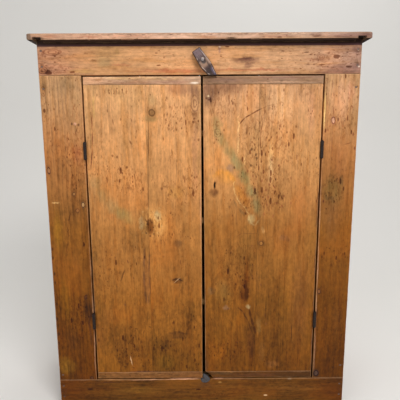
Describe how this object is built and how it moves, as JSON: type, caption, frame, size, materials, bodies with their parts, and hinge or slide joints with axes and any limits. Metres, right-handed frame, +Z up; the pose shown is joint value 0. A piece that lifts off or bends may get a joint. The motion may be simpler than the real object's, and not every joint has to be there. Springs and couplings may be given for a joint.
{
  "type": "jelly cupboard",
  "caption": "Old pine jelly cupboard with a face frame, two flush plank doors on iron butt hinges, a wooden turn button, a rim lock and shelves inside.",
  "frame": {"origin": "on the floor under the middle of the cupboard's bounding box", "axes": "+Z up, the doors face -Y, +X is to the right as seen from the front"},
  "size_m": [1.03, 0.443, 1.251],
  "materials": {
    "case_pine": "aged amber varnish, satin, worn at the arrises",
    "door_pine": "aged amber varnish, satin, stained and scratched",
    "bare_pine": "unvarnished, dusty and darkened with age",
    "dark_wood": "whittled, handled smooth, dark",
    "hinge_iron": "blackened, dull",
    "worn_iron": "grey-brown, worn",
    "nail_iron": "rusted dark"
  },
  "bodies": {
    "case": {"top_board": "case_pine", "side_left": "case_pine", "side_right": "case_pine", "header_rail": "case_pine", "stile_left": "case_pine", "stile_right": "case_pine", "bottom_rail": "case_pine", "bottom_board": "bare_pine", "shelf_1": "bare_pine", "shelf_2": "bare_pine", "shelf_3": "bare_pine", "back_board_1": "bare_pine", "back_board_2": "bare_pine", "back_board_3": "bare_pine", "back_board_4": "bare_pine", "iron_stop": "worn_iron", "turn_button_screw": "worn_iron", "hinge_left_upper_frame_leaf": "hinge_iron", "hinge_left_upper_pin": "hinge_iron", "hinge_left_lower_frame_leaf": "hinge_iron", "hinge_left_lower_pin": "hinge_iron", "hinge_right_upper_frame_leaf": "hinge_iron", "hinge_right_upper_pin": "hinge_iron", "hinge_right_lower_frame_leaf": "hinge_iron", "hinge_right_lower_pin": "hinge_iron", "header_nail_left_1": "nail_iron", "header_nail_left_2": "nail_iron", "header_nail_right_1": "nail_iron", "header_nail_right_2": "nail_iron", "rail_nail_left_1": "nail_iron", "rail_nail_left_2": "nail_iron", "rail_nail_right_1": "nail_iron", "rail_nail_right_2": "nail_iron", "stile_nail_left_foot": "nail_iron", "stile_nail_left_head": "nail_iron", "stile_nail_right_foot": "nail_iron", "stile_nail_right_head": "nail_iron"},
    "left_door": {"door_left_board_outer": "door_pine", "door_left_board_inner": "door_pine", "door_left_cap_top": "door_pine", "door_left_cap_foot": "door_pine", "hinge_left_upper_door_leaf": "hinge_iron", "hinge_left_lower_door_leaf": "hinge_iron", "lock_keeper": "worn_iron"},
    "right_door": {"door_right_board_inner": "door_pine", "door_right_board_outer": "door_pine", "door_right_cap_top": "door_pine", "door_right_cap_foot": "door_pine", "hinge_right_upper_door_leaf": "hinge_iron", "hinge_right_lower_door_leaf": "hinge_iron", "lock_plate": "worn_iron", "lock_case": "worn_iron", "lock_screw_lower_left": "worn_iron", "lock_screw_lower_right": "worn_iron", "lock_screw_upper_left": "worn_iron", "lock_screw_upper_right": "worn_iron"},
    "button": {"turn_button": "dark_wood"},
    "bolt": {"lock_bolt": "worn_iron"}
  },
  "joints": [
    {"name": "left_door_hinge", "type": "hinge", "parent": "case", "child": "left_door", "pos_m": [-0.3635, -0.1983, 0.6165], "axis": [0, 0, -1], "range_deg": [0, 165]},
    {"name": "right_door_hinge", "type": "hinge", "parent": "case", "child": "right_door", "pos_m": [0.384, -0.1983, 0.6165], "axis": [0, 0, 1], "range_deg": [0, 165]},
    {"name": "button_turn", "type": "hinge", "parent": "case", "child": "button", "pos_m": [0.008, -0.2018, 1.175], "axis": [0, 1, 0], "range_deg": [-85, 155]},
    {"name": "bolt_slide", "type": "slide", "parent": "right_door", "child": "bolt", "axis": [-1, 0, 0], "range_m": [0, 0.014]}
  ]
}
